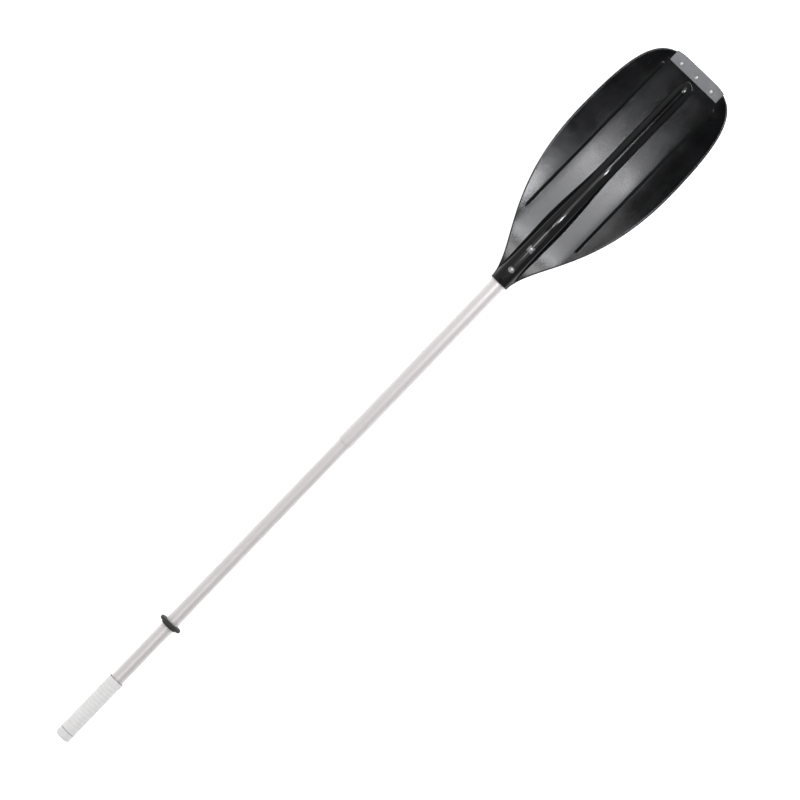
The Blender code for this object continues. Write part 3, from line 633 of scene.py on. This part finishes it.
def makeBlade():
    # front and back are heights over one grid, joined by the rim, the mouth's lip and the bore
    s, m = bladeShape, bladeMesh
    u, half, outU, outV = bladeRows()
    v = acrossBlade(u, half)
    u = np.broadcast_to(u[:, None], v.shape)
    rows, columns = v.shape
    front = np.stack([u, v, bladeSurface(u, v, 1)], axis=-1)
    back = np.stack([u, v, bladeSurface(u, v, -1)], axis=-1)

    # the rim: half an ellipse swept from the mouth round the tip and back, with the mould's parting line
    loop = [(np.arange(rows), np.full(rows, columns - 1)),
            (np.full(columns - 2, rows - 1), np.arange(columns - 2, 0, -1)),
            (np.arange(rows)[::-1], np.zeros(rows, int))]
    loop = tuple(np.concatenate(part) for part in zip(*loop))
    outwards = np.vstack([np.column_stack([outU, outV]), np.tile([1, 0], (columns - 2, 1)),
                          np.column_stack([outU, -outV])[::-1]])
    turn = np.linspace(0, math.pi, m["rim"])[1:-1]
    line = np.exp(-((turn - math.pi / 2) / s["partingSwing"]) ** 2) * s["partingLine"]
    reach = (s["halfPlate"] - s["partingLine"]) * np.sin(turn) + line
    middle = (front[loop][:, 2] + back[loop][:, 2]) / 2
    thick = (front[loop][:, 2] - back[loop][:, 2]) / 2
    rim = np.stack([front[loop][:, :1] + outwards[:, :1] * reach,
                    front[loop][:, 1:2] + outwards[:, 1:] * reach,
                    middle[:, None] + thick[:, None] * np.cos(turn)], axis=-1)

    points = np.vstack([part.reshape(-1, 3) for part in (front, back, rim)])
    frontGrid = np.arange(rows * columns).reshape(rows, columns)
    backGrid = frontGrid + rows * columns
    rimGrid = np.arange(rim.shape[0] * rim.shape[1]).reshape(rim.shape[:2]) + 2 * rows * columns
    rimGrid = np.column_stack([frontGrid[loop], rimGrid, backGrid[loop]])
    mouth = np.concatenate([frontGrid[0], rimGrid[0, 1:-1], backGrid[0, ::-1], rimGrid[-1, -2:0:-1]])

    # the mouth's rounded lip, then the bore and its closed end
    around = points[mouth, 1:]
    radius = np.linalg.norm(around, axis=1)
    direction = around / radius[:, None]
    lip, bore, boreLip = s["lip"], s["boreRadius"], s["boreLip"]
    swing = quarterTurn(m["lip"])[1:]
    rings = [(lip * (1 - math.sin(a)), radius - lip * (1 - math.cos(a))) for a in swing]
    rings += [(boreLip * (1 - math.cos(a)), bore + boreLip * (1 - math.sin(a))) for a in (0, *swing)]
    rings += [(s["socketDepth"] * share, bore) for share in m["boreShares"]]
    inner = []
    for place, ringRadius in rings:
        ring = direction * np.broadcast_to(ringRadius, radius.shape)[:, None]
        inner.append(np.column_stack([np.full(len(ring), place), ring]))
    start = len(points)
    innerGrid = np.arange(len(rings) * len(mouth)).reshape(len(rings), -1) + start
    innerGrid = np.vstack([mouth, innerGrid])
    points = np.vstack([points, *inner, [[s["socketDepth"], 0, 0]]])
    three = fan(len(points) - 1, innerGrid[-1])
    four = np.vstack([quads(frontGrid), quads(backGrid[:, ::-1]), quads(rimGrid),
                      quads(innerGrid[:, ::-1], True)])

    # worn round the rim, most at the tip, and along the tops of the ribs that the blade lies on
    fromRim = half[:, None] - np.abs(v)
    rimWear = np.exp(-np.minimum(fromRim, s["length"] - u) / s["rimWearReach"])
    toTip = mix(s["mouthWear"], 1, smoothStep(u, *s["tipWearStretch"]))
    ribWear = ribHeight(u, v) / s["ribHeight"]
    edge = np.concatenate([(rimWear * toTip + s["frontRibWear"] * ribWear ** 3).ravel(),
                           np.maximum(rimWear * toTip, ribWear ** 2).ravel(),
                           np.broadcast_to(toTip[loop][:, None], rim.shape[:2]).ravel(),
                           np.full(len(points) - start, s["boreWear"])])
    points[:, 0] += bladeMouth
    points[:, 2] += shaftHeight
    return newPiece("blade_moulding", points, four, three, edge)


blade = makeBlade()
dress(blade, plasticFinish("black blade plastic", bladeLooks), "blade_plastic", "oar", "blade")
print("blade:", len(blade.data.polygons), "faces")


# Shaft: two drawn tubes, the upper one sliding into the lower one, each with a hole for the snap button

tubeLooks = {
    "colour": (.565, .537, .535), "otherColour": (.522, .495, .493), "wornColour": (.74, .73, .72),
    "metallic": .35, "roughness": (.36, .46), "wornRoughness": -.12,
    "lineSize": (.06, .00035, .00035), "cloudSize": .06, "lineDepth": .000012,
    "wear": .35, "wearSize": .003,
}
tubeShape = {
    "wall": .0012, "rounding": .0003, "roundingSteps": 5, "segments": 96, "endStretch": .002, "places": 24,
    "holeRadius": .0043, "holeRings": 5, "blendRings": 4, "sameRadius": .0001,
    "holeWear": .001, "endWear": .0015,
}


def makeTube(name, node):
    # a pipe with rounded ends; round the button's hole its grid goes over from squares to circles
    s = tubeShape
    start, end, outer = roundNode(node)
    inner = outer - s["wall"]
    centre = (boxes["snap_button"][0][0] + boxes["snap_button"][1][0]) / 2
    step = math.tau * outer / s["segments"]
    reach = s["holeRings"] + s["blendRings"]
    offsets = np.arange(-reach, reach + 1)
    near = centre + offsets * step
    far = np.concatenate([np.linspace(start + s["endStretch"], near[0] - step, s["places"]),
                          np.linspace(near[-1] + step, end - s["endStretch"], s["places"])])
    places = np.sort(np.concatenate([near, far]))
    swing = quarterTurn(s["roundingSteps"])
    endArc = s["rounding"] * (1 - np.cos(swing))
    outArc = s["rounding"] * (1 - np.sin(swing))
    outside = np.vstack([np.column_stack([start + endArc[::-1], outer - outArc[::-1]])[::-1],
                         np.column_stack([places, np.full(len(places), outer)]),
                         np.column_stack([end - endArc, outer - outArc])[::-1]])
    inside = np.vstack([np.column_stack([end - endArc, inner + outArc]),
                        np.column_stack([places, np.full(len(places), inner)])[::-1],
                        np.column_stack([start + endArc, inner + outArc])[::-1]])
    profile = np.vstack([outside, inside])
    angle = np.linspace(0, math.tau, s["segments"], endpoint=False) - math.pi / 2
    x = np.repeat(profile[:, :1], s["segments"], axis=1)
    turn = np.broadcast_to(angle, x.shape).copy()
    radius = profile[:, 1:]

    # squares of the grid become circles of the hole; a ring's number is the larger of the two counts from the
    # centre
    row = np.round((x - centre) / step)
    column = np.round(np.angle(np.exp(1j * (turn + math.pi / 2))) / (math.tau / s["segments"]))
    ringNumber = np.maximum(np.abs(row), np.abs(column))
    isNear = (ringNumber <= reach) & (np.abs(x - centre) < (reach + .5) * step)
    isNear &= (radius > outer - s["sameRadius"]) | (radius < inner + s["sameRadius"])
    heading = np.arctan2(column, row)
    circle = s["holeRadius"] * ringNumber / s["holeRings"]
    share = smoothStep(ringNumber, s["holeRings"], reach)
    plainAcross = radius * np.sin(turn + math.pi / 2)
    toX = mix(centre + circle * np.cos(heading), x, share)
    toAcross = mix(circle * np.sin(heading), plainAcross, share)
    x = np.where(isNear, toX, x)
    turn = np.where(isNear, -math.pi / 2 + np.arcsin(np.clip(toAcross / radius, -1, 1)), turn)
    points = np.stack([x, radius * np.cos(turn), radius * np.sin(turn) + shaftHeight], axis=-1)

    grid = np.arange(x.size).reshape(x.shape)
    four = quads(np.vstack([grid, grid[:1]]), True)
    gone = (isNear & (ringNumber < s["holeRings"])).ravel()
    four = four[~gone[four].any(axis=1)]
    onEdge = isNear & (ringNumber == s["holeRings"])
    loops = []
    for wall in (onEdge & (radius > (outer + inner) / 2), onEdge & (radius < (outer + inner) / 2)):
        numbers = grid[wall]
        loops.append(numbers[np.argsort(heading[wall])])
    four = np.vstack([four, quads(np.vstack(loops)[::-1], True)])
    fromEnd = np.minimum(x - start, end - x)
    holeEdge = np.where(isNear, np.exp(-np.clip(circle - s["holeRadius"], 0, None) / s["holeWear"]), 0)
    edge = np.maximum(np.exp(-fromEnd / s["endWear"]), holeEdge).ravel()

    # vertices inside the hole are left out, and the rest renumbered
    kept = np.flatnonzero(~gone)
    renumbered = np.cumsum(~gone) - 1
    return newPiece(name, points.reshape(-1, 3)[kept], renumbered[four], [], edge[kept])


tubeFinish = metalFinish("satin anodised tube", tubeLooks)
for side in ("upper", "lower"):
    tube = makeTube(f"{side}_shaft", f"{side}_tube")
    dress(tube, tubeFinish, "tube", "oar", f"{side}_tube")
print("shaft tubes")


# Handle: a pale sleeve with shallow finger grooves, and the cap that closes the tube behind it

gripLooks = {
    "colour": (.64, .632, .626), "otherColour": (.60, .592, .586), "wornColour": (.52, .51, .49),
    "roughness": (.50, .62), "wornRoughness": .05, "wornShare": .5,
    "grainSize": .0005, "grainHeight": .00004, "mottleSize": .02,
    "wear": .25, "wearSize": .004,
    "scratchLength": .012, "scratchWidth": .0004, "scratches": .3, "scratchShare": .25, "scratchDepth": .3,
}
gripShape = {
    "innerRadius": .01105, "rounding": .0012, "roundingSteps": 7, "boreRounding": .0003, "plainEnd": .009,
    "grooveDepth": .0006, "groovePitch": .0065, "grooveSteps": 10, "segments": 96,
}


def makeGrip():
    # a sleeve whose outside dips in a row of waves, each one turn of a cosine
    s = gripShape
    start, end, outer = roundNode("grip_sleeve")
    inner = s["innerRadius"]
    ends = rounded([
        (start, outer, s["rounding"]), (end, outer, s["rounding"]),
        (end, inner, s["boreRounding"]), (start, inner, s["boreRounding"]),
    ], steps=s["roundingSteps"])
    count = int((end - start - 2 * s["plainEnd"]) / s["groovePitch"])
    grooved = count * s["groovePitch"]
    x = np.linspace((start + end - grooved) / 2, (start + end + grooved) / 2, count * s["grooveSteps"] + 1)
    wave = s["grooveDepth"] * (.5 - .5 * np.cos(math.tau * (x - x[0]) / s["groovePitch"]))
    waves = np.column_stack([x, outer - wave, np.zeros(len(x))])
    split = s["roundingSteps"] + 2  # the first corner's arc and the points beyond both of its ends
    profile = np.vstack([ends[:split], waves, ends[split:]])
    return shaftPiece("grip_cover", profile, s["segments"], False)


grip = makeGrip()
dress(grip, plasticFinish("pale grip plastic", gripLooks), "grip", "oar", "grip_sleeve")

capLooks = {
    **gripLooks,
    "colour": (.62, .612, .607), "otherColour": (.58, .572, .567), "wornColour": (.48, .47, .46),
    "roughness": (.38, .48), "grainHeight": .00002, "wear": .3,
}
capShape = {
    "headLength": .014, "rounding": .004, "shoulderRounding": .0005, "stepRounding": .0002,
    "dishRadius": .0062, "dishDepth": .0006, "dishRounding": .0004, "spigotRadius": .0095, "leadIn": .0012,
    "segments": 96,
}


def makeCap():
    # a round head with a shallow dish in its end, and a spigot with a lead-in
    s = capShape
    start, end, outer = roundNode("end_cap")
    shoulder = start + s["headLength"]
    dish = start + s["dishDepth"]
    profile = rounded([
        (dish, 0, 0),
        (dish, s["dishRadius"] - s["dishDepth"], s["dishRounding"]),
        (start, s["dishRadius"], s["dishRounding"]),
        (start, outer, s["rounding"]),
        (shoulder, outer, s["shoulderRounding"]),
        (shoulder, s["spigotRadius"], s["stepRounding"]),
        (end, s["spigotRadius"], s["leadIn"]),
        (end, 0, 0),
    ], support=.0006)
    return shaftPiece("handle_end_cap", profile, s["segments"], True)


cap = makeCap()
dress(cap, plasticFinish("grey cap plastic", capLooks), "cap", "oar", "end_cap")
print("grip and cap")


# Stop ring: black rubber, a flange on the blade's side and a short hub

ringLooks = {
    "colour": (.010, .010, .010), "otherColour": (.016, .016, .016), "wornColour": (.050, .049, .047),
    "roughness": (.58, .74), "wornRoughness": .1, "wornShare": .6,
    "grainSize": .0005, "grainHeight": .00005, "mottleSize": .008,
    "wear": .15, "wearSize": .003,
    "scratchLength": .010, "scratchWidth": .0005, "scratches": .3, "scratchShare": .4, "scratchDepth": .3,
}
ringShape = {
    "innerRadius": .0113, "boreRounding": .0004, "rounding": .0015, "crown": .0005, "crownRounding": .004,
    "hubRadius": .0135, "hubLength": .003, "hubRounding": .0011, "rootRounding": .0010, "segments": 120,
}


def makeRing():
    # the flange's rim is crowned to the middle, where the mould's halves met
    s = ringShape
    start, end, outer = roundNode("stop_ring")
    inner = s["innerRadius"]
    back = start + s["hubLength"]
    crown = (back + end) / 2
    profile = rounded([
        (end, inner, s["boreRounding"]),
        (end, outer - s["crown"], s["rounding"]),
        (crown, outer, s["crownRounding"]),
        (back, outer - s["crown"], s["rounding"]),
        (back, s["hubRadius"], s["rootRounding"]),
        (start, s["hubRadius"], s["hubRounding"]),
        (start, inner, s["boreRounding"]),
    ], support=.0002)
    return shaftPiece("rubber_stop", profile, s["segments"], False)


stopRing = makeRing()
dress(stopRing, plasticFinish("black stop rubber", ringLooks), "stop_rubber", "stop_ring", "stop_ring")
print("stop ring")


# Tip guard: a metal strip folded over the blade's tip edge

guardLooks = {
    "colour": (.091, .093, .095), "otherColour": (.074, .076, .078), "wornColour": (.20, .20, .20),
    "metallic": .6, "roughness": (.36, .46), "wornRoughness": -.05,
    "lineSize": (.0003, .03, .0003), "cloudSize": .02, "lineDepth": .000015,
    "wear": .25, "wearSize": .003,
}
guardShape = {
    "gap": .0003, "wall": .0012, "depth": .022, "halfWidth": .050, "steps": 90,
    "noseRounding": .0014, "lipRounding": .0004, "noseReach": .003, "endRounding": .0004, "endSteps": 5,
    "sectionStep": .003, "foldWear": .8, "endWear": .0012,
}


def divided(profile, step):
    # the same line with more points, no more than step apart
    travel = travelAlong(profile[:, :2])
    at = np.unique(np.concatenate([travel, np.arange(0, travel[-1], step)]))
    return np.column_stack([np.interp(at, travel, column) for column in profile.T])


def makeGuard():
    # a U-shaped section carried across the blade, following its tip edge and the plate's height
    s = guardShape
    near = bladeShape["halfPlate"] + s["gap"]
    far = near + s["wall"]
    lip, nose = s["lipRounding"], s["noseRounding"]
    section = divided(rounded([
        (s["depth"], near, lip), (s["depth"], far, lip), (0, far, nose), (0, -far, nose),
        (s["depth"], -far, lip), (s["depth"], -near, lip), (s["wall"], -near, lip), (s["wall"], near, lip),
    ], steps=6, support=.0012), s["sectionStep"])
    back, height, edge = section.T
    ahead = np.roll(section, -1, 0) - np.roll(section, 1, 0)
    ahead /= np.linalg.norm(ahead[:, :2], axis=1)[:, None]
    outline = bladeOutline()
    corner = outline[outline[:, 0] > bladeShape["widestAt"]][::-1]
    swing = quarterTurn(s["endSteps"])[1:]
    rounding = s["endRounding"]
    reach = s["halfWidth"] - rounding
    right = reach + rounding * np.sin(swing)
    v = np.concatenate([-right[::-1], np.linspace(-reach, reach, s["steps"]), right])[:, None]
    pastReach = np.clip(np.abs(v) - reach, 0, None)
    inset = rounding - np.sqrt(np.clip(rounding ** 2 - pastReach ** 2, 0, None))
    tipEdge = np.interp(np.abs(v), corner[:, 1], corner[:, 0])
    end = tipEdge + s["gap"] + s["wall"]
    start = bladeShape["length"] + s["gap"] + s["wall"] - s["depth"]
    stretch = (end - start - s["noseReach"]) / (s["depth"] - s["noseReach"])
    u = end - np.minimum(back, s["noseReach"]) - np.clip(back - s["noseReach"], 0, None) * stretch
    u = u - inset * ahead[:, 1]
    z = plateMiddle(np.minimum(u, tipEdge), v) + height - inset * ahead[:, 0]
    points = np.stack([u + bladeMouth, np.broadcast_to(v, u.shape), z + shaftHeight], axis=-1)
    atEnds = np.exp(-(s["halfWidth"] - np.abs(v)) / s["endWear"])
    return stripPiece("tip_strip", points, np.maximum(edge * s["foldWear"], atEnds))


guard = makeGuard()
dress(guard, metalFinish("satin guard metal", guardLooks), "guard", "oar", "tip_guard")
print("tip guard")


# Rivets: domed heads at both ends, the tail end rolled over with a hollow in its middle

rivetLooks = {
    "colour": (.25, .25, .255), "otherColour": (.20, .20, .205), "wornColour": (.40, .40, .40),
    "metallic": .9, "roughness": (.32, .44), "wornRoughness": -.05,
    "lineSize": (.002, .002, .002), "cloudSize": .004, "lineDepth": .00003,
    "wear": .3, "wearSize": .002,
}
stripRivetLooks = {
    **rivetLooks,
    "colour": (.27, .27, .28), "otherColour": (.22, .22, .23), "wornColour": (.38, .38, .38),
    "roughness": (.40, .52),
}
bladeRivet = {
    "shank": .0024, "head": .005, "headHeight": .0024, "halfGrip": .0158,
    "hollow": .0013, "hollowDepth": .0010, "isTilted": False,
}
guardRivet = {
    "shank": .0018, "head": .004, "headHeight": .0013, "halfGrip": .0038,
    "hollow": .0009, "hollowDepth": .0005, "isTilted": True,
}
rivetMesh = {
    "steps": 10, "segments": 48, "hollowRim": 1.6, "hollowLip": (1.2, .00005), "hollowWall": .0002,
    "hollowFloor": .85, "wornFrom": .9,
}


def placed(points, centre, tilt):
    # tipped about Y, then moved to its centre
    c, s = math.cos(tilt), math.sin(tilt)
    return points @ np.array([[c, 0, s], [0, 1, 0], [-s, 0, c]]).T + centre


def makeRivet(name, node, shape):
    # head and tail are quarter ellipses, the tail hollowed; a tilted rivet stands square to the spoon line
    s, m = shape, rivetMesh
    swing = quarterTurn(m["steps"])
    dome = np.column_stack([s["halfGrip"] + s["headHeight"] * np.cos(swing), s["head"] * np.sin(swing)])
    tail = dome[dome[:, 1] > s["hollow"] * m["hollowRim"]] * [-1, 1]
    top, floor = tail[0, 0], tail[0, 0] + s["hollowDepth"]
    lipWidth, lipHeight = m["hollowLip"]
    profile = np.vstack([
        dome, [[s["halfGrip"], s["shank"]], [-s["halfGrip"], s["shank"]]], tail[::-1],
        [[top - lipHeight, s["hollow"] * lipWidth], [top + m["hollowWall"], s["hollow"]],
         [floor, s["hollow"] * m["hollowFloor"]], [floor, 0]],
    ])
    edge = (np.abs(profile[:, 0]) > s["halfGrip"]) * (profile[:, 1] > s["head"] * m["wornFrom"]) * 1.0
    points, four, three, edge = turned(np.column_stack([profile, edge]), m["segments"], True)
    low, high = boxes[node]
    centre = (low + high) / 2
    u = centre[0] - bladeMouth
    slope = (spoon(u + s["head"]) - spoon(u - s["head"])) / (2 * s["head"])
    tilt = -math.atan(slope) if s["isTilted"] else 0
    return newPiece(name, placed(points, centre, tilt), four, three, edge)


rivetFinish = metalFinish("rivet metal", rivetLooks)
stripRivetFinish = metalFinish("strip rivet metal", stripRivetLooks)
for place in ("near", "far"):
    rivet = makeRivet(f"socket_rivet_{place}", f"blade_rivet_{place}", bladeRivet)
    dress(rivet, rivetFinish, "rivet", "oar", f"blade_rivet_{place}")
for place in ("left", "middle", "right"):
    rivet = makeRivet(f"strip_rivet_{place}", f"tip_guard_rivet_{place}", guardRivet)
    dress(rivet, stripRivetFinish, "rivet", "oar", f"tip_guard_rivet_{place}")
print("rivets")


# Snap button: a domed steel pin with a flange inside the tube

steelLooks = {
    "colour": (.62, .62, .63), "otherColour": (.54, .54, .55), "wornColour": (.75, .75, .76),
    "metallic": 1.0, "roughness": (.20, .30), "wornRoughness": -.05,
    "lineSize": (.0004, .0004, .004), "cloudSize": .004, "lineDepth": .00001,
    "wear": .3, "wearSize": .002,
}
buttonShape = {
    "radius": .004, "domeHeight": .002, "domeSteps": 12, "wornFrom": 1.2,
    "flangeRadius": .005, "flange": .001, "flangeRounding": .0002, "segments": 64,
}


def makeButton():
    # flange, straight pin and a dome that is a quarter ellipse, worn where it has swung round to the pin
    s = buttonShape
    low, high = boxes["snap_button"]
    swing = quarterTurn(s["domeSteps"])
    dome = np.column_stack([low[2] + s["domeHeight"] * (1 - np.cos(swing)), s["radius"] * np.sin(swing),
                            np.where(swing > s["wornFrom"], 1, 0)])
    under, top = high[2] - s["flange"], high[2]
    flange = rounded([
        (under, s["radius"], 0), (under, s["flangeRadius"], s["flangeRounding"]),
        (top, s["flangeRadius"], s["flangeRounding"]), (top, 0, 0),
    ], steps=4, support=.0002)
    points, four, three, edge = turned(np.vstack([dome, flange]), s["segments"], True)
    middle = (low + high) / 2 * [1, 1, 0]
    return newPiece("button_pin", points + middle, four, three, edge)


button = makeButton()
dress(button, metalFinish("button steel", steelLooks), "button_steel", "snap_button", "snap_button")
print("snap button")


# Spring clip: a steel strip bent into a hairpin, squeezed as the button goes in

springLooks = {
    **steelLooks,
    "colour": (.46, .46, .47), "otherColour": (.38, .37, .37), "roughness": (.28, .40),
    "lineSize": (.006, .0002, .0002),
}
springShape = {"thickness": .0006, "bendRadius": .0022, "pad": .010, "padRounding": .003, "eased": .0001}


def makeSpring():
    # the hairpin's middle line, thickened to both sides and drawn across, thinner by the eased edges at its
    # borders
    s = springShape
    low, high = boxes["spring_clip"]
    half, bend, pad = s["thickness"] / 2, s["bendRadius"], low[0] + s["pad"]
    bottom, top, tip = low[2] + half, high[2] - half, high[0] - half
    line = rounded([
        (low[0], bottom, 0), (pad, bottom, s["padRounding"]),
        (tip, shaftHeight - bend, bend), (tip, shaftHeight + bend, bend),
        (pad, top, s["padRounding"]), (low[0], top, 0),
    ], steps=11, support=.0001)[:, :2]
    across = leftOf(line)
    y = np.array([low[1], low[1] + s["eased"], high[1] - s["eased"], high[1]])
    reach = half - np.array([1, 0, 0, 1]) * s["eased"]
    loops = [np.vstack([line + across * r, (line - across * r)[::-1]]) for r in reach]
    points = np.stack([np.insert(loop, 1, place, axis=1) for loop, place in zip(loops, y)])
    return stripPiece("spring_strip", points, np.zeros(points.shape[:2]))


spring = makeSpring()
dress(spring, metalFinish("spring steel strip", springLooks), "spring_steel", "oar", "spring_clip")
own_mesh(spring)
print("spring clip")


# Inside the shaft the other CAD solids stay, with finishes of their own

plugLooks = {
    **ringLooks,
    "colour": (.028, .028, .030), "otherColour": (.036, .036, .037),
    "roughness": (.42, .52), "grainHeight": .00002,
}
foamLooks = {
    **gripLooks,
    "colour": (.84, .84, .82), "otherColour": (.78, .78, .75), "wornColour": (.70, .68, .62),
    "roughness": (.85, .95), "grainSize": .0022, "grainHeight": .0004, "mottleSize": .012,
}
insideFinishes = {
    "plug": plasticFinish("black plug plastic", plugLooks),
    "float": plasticFinish("white foam", foamLooks),
}
for node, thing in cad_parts.items():
    finish = next((found for ending, found in insideFinishes.items() if node.endswith(ending)), None)
    if finish:
        for slot in thing.material_slots:
            slot.material = finish
print("finishes inside the shaft")


# Studio: a camera straight above, a pale floor, bright walls, a dark ceiling and flat lamps

camera = {
    "lens": 135, "sensor": 36, "turn": 46.1,
    "metresPerPixel": .0015676, "oarMiddle": (382.15, 404.0), "frame": 800,
}


def makeCamera():
    # straight above, rolled so that the oar runs to the upper right, and moved so that its middle falls on
    # its pixel
    c = camera
    data = bpy.data.cameras.new("camera")
    data.lens = c["lens"]
    data.sensor_width = c["sensor"]
    seen = c["metresPerPixel"] * c["frame"]
    distance = seen / 2 / (c["sensor"] / 2 / c["lens"])
    turn = math.radians(c["turn"])
    right = np.array([math.cos(turn), -math.sin(turn)])
    up = np.array([math.sin(turn), math.cos(turn)])
    offRight = (c["frame"] / 2 - c["oarMiddle"][0]) * c["metresPerPixel"]
    offUp = (c["oarMiddle"][1] - c["frame"] / 2) * c["metresPerPixel"]
    x, y = right * offRight + up * offUp
    thing = addObject("camera", data, (x, y, shaftHeight + distance))
    thing.rotation_euler = (0, 0, -turn)
    bpy.context.scene.camera = thing


makeCamera()

room = {
    "wallStrength": .70, "ceilingStrength": .01, "wallTop": .80, "ceilingFrom": .93, "leftGain": .40,
    "floorShade": .90, "floorGlow": .60, "floorSide": 30, "floorDrop": .0002,
}
white = (1, 1, 1)
lamps = {  # place, size, power and colour
    "softbox": ((1.105, .01, 2.5), (.29, .50), 5.65, (.96, .97, 1)),
    "brightPanel": ((.92, .01, 2.5), (.08, .50), 4.55, (.96, .97, 1)),
    "rightStrip": ((1.30, -.61, 2.5), (.17, .47), 31, (.95, .96, 1)),
    "leftStrip": ((1.13, .475, 2.5), (.15, .27), .9, white),
    "neckLamp": ((.44, 0, 1.0), (.12, .25), 1.35, white),
    "neckLeft": ((.405, .40, 1.0), (.11, .44), .35, white),
    "neckRight": ((.405, -.40, 1.0), (.11, .44), .35, white),
    "taperLamp": ((1.75, 0, 2.5), (.8, 1.2), 10, white),
    "handleLamp": ((-1.2, 0, 2.2), (1.0, 1.4), 17, white),
}


def makeWorld():
    # brightness by height, walls up to a middle height fading to the ceiling, and brighter on the left (+Y)
    world = bpy.data.worlds.new("studio")
    bpy.context.scene.world = world
    world.use_nodes = True
    tree = world.node_tree
    direction = addNode(tree, "TexCoord").outputs["Generated"]
    parts = addNode(tree, "SeparateXYZ", {0: direction}).outputs
    strength = ease(tree, parts["Z"], room["wallTop"], room["ceilingFrom"],
                    room["wallStrength"], room["ceilingStrength"])
    side = calc(tree, "MULTIPLY_ADD", parts["Y"], room["leftGain"], 1.0)
    feed(tree, tree.nodes["Background"], {
        "Color": (*white, 1), "Strength": calc(tree, "MULTIPLY", strength, side),
    })


def makeFloor():
    # one flat square just under the oar, matt and faintly glowing
    half, drop = room["floorSide"] / 2, room["floorDrop"]
    mesh = bpy.data.meshes.new("floor")
    corners = [(x * half, y * half, -drop) for x, y in ((-1, -1), (1, -1), (1, 1), (-1, 1))]
    mesh.from_pydata(corners, [], [(0, 1, 2, 3)])
    paper = bpy.data.materials.new("white floor")
    paper.use_nodes = True
    feed(paper.node_tree, paper.node_tree.nodes["Principled BSDF"], {
        "Base Color": (*[room["floorShade"]] * 3, 1), "Roughness": 1.0, "Specular IOR Level": 0.0,
        "Emission Color": (*white, 1), "Emission Strength": room["floorGlow"],
    })
    mesh.materials.append(paper)
    addObject("floor", mesh)


def makeLamps():
    # flat lamps facing straight down, out of the camera's sight
    for name, (place, size, power, colour) in lamps.items():
        data = bpy.data.lights.new(name, "AREA")
        data.shape = "RECTANGLE"
        data.size, data.size_y = size
        data.energy = power
        data.color = colour
        addObject(name, data, place).visible_camera = False


makeWorld()
makeFloor()
makeLamps()
bpy.context.scene.view_settings.view_transform = "Standard"
print("studio")
